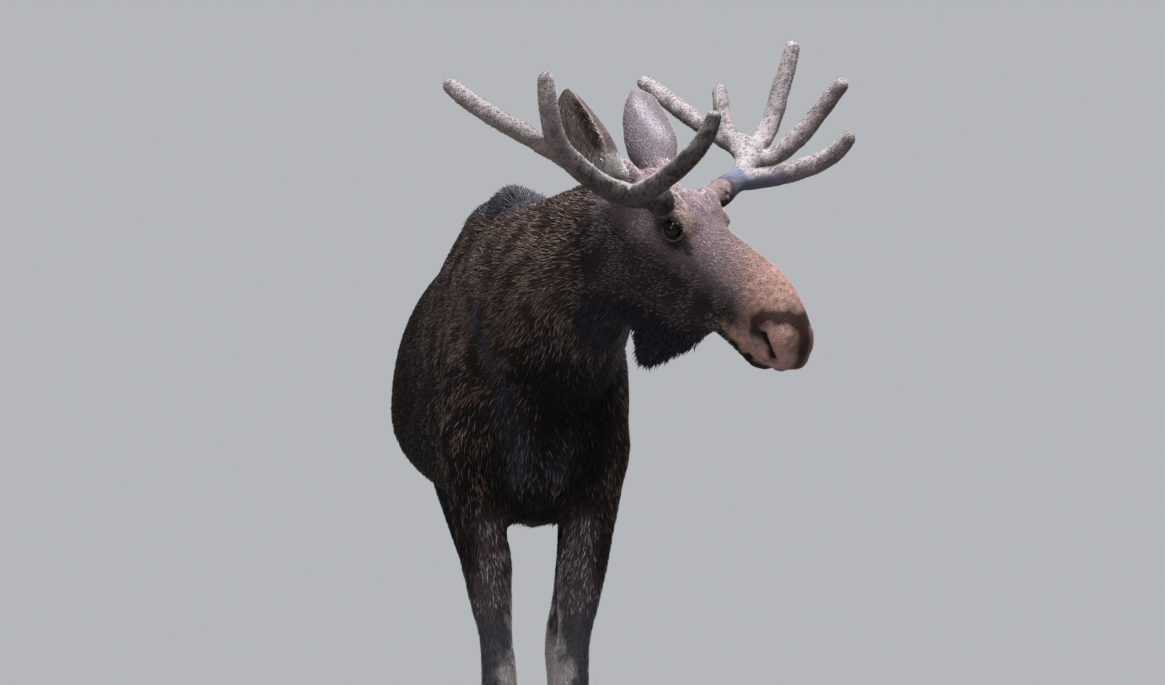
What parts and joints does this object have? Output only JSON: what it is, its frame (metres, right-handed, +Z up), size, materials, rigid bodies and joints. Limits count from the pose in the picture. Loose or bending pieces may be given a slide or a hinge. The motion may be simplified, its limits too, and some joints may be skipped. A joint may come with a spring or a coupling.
{
  "type": "moose",
  "caption": "Life-size bull moose standing square with its head turned to its left, antlers in velvet, as a still museum model.",
  "frame": {"origin": "middle of the bounding box, on the floor under the moose", "axes": "+Z up, the body faces -Y, the moose's left side is +X; its head is turned to its left, towards +X"},
  "size_m": [1.1272, 2.7332, 2.2516],
  "materials": {
    "coat": "long dark brown hair, matte with a soft sheen",
    "face": "short brown hair, matte",
    "shank": "short hair, grey-brown, paler on the inside",
    "velvet": "grey furry velvet skin, matte",
    "horn": "dark horn, slightly worn",
    "eye": "wet, glossy, nearly black"
  },
  "bodies": {
    "root": {"antler_left_beam": "velvet", "antler_left_palm": "velvet", "antler_left_tine_front": "velvet", "antler_left_tine_inner": "velvet", "antler_left_tine_outer": "velvet", "antler_left_tine_rear": "velvet", "antler_left_tine_upper": "velvet", "antler_right_beam": "velvet", "antler_right_tine_front": "velvet", "antler_right_tine_middle": "velvet", "antler_right_tine_rear": "velvet", "beard": "coat", "dewclaw_fore_left_inner": "horn", "dewclaw_fore_left_outer": "horn", "dewclaw_fore_right_inner": "horn", "dewclaw_fore_right_outer": "horn", "dewclaw_hind_left_inner": "horn", "dewclaw_hind_left_outer": "horn", "dewclaw_hind_right_inner": "horn", "dewclaw_hind_right_outer": "horn", "ear_left": "face", "ear_right": "face", "eye_left": "eye", "eye_right": "eye", "foreleg_left_lower": "shank", "foreleg_left_upper": "coat", "foreleg_right_lower": "shank", "foreleg_right_upper": "coat", "head": "face", "hindleg_left_lower": "shank", "hindleg_left_upper": "coat", "hindleg_right_lower": "shank", "hindleg_right_upper": "coat", "hoof_fore_left_inner": "horn", "hoof_fore_left_outer": "horn", "hoof_fore_right_inner": "horn", "hoof_fore_right_outer": "horn", "hoof_hind_left_inner": "horn", "hoof_hind_left_outer": "horn", "hoof_hind_right_inner": "horn", "hoof_hind_right_outer": "horn", "neck": "coat", "tail": "coat", "trunk": "coat"}
  },
  "joints": []
}
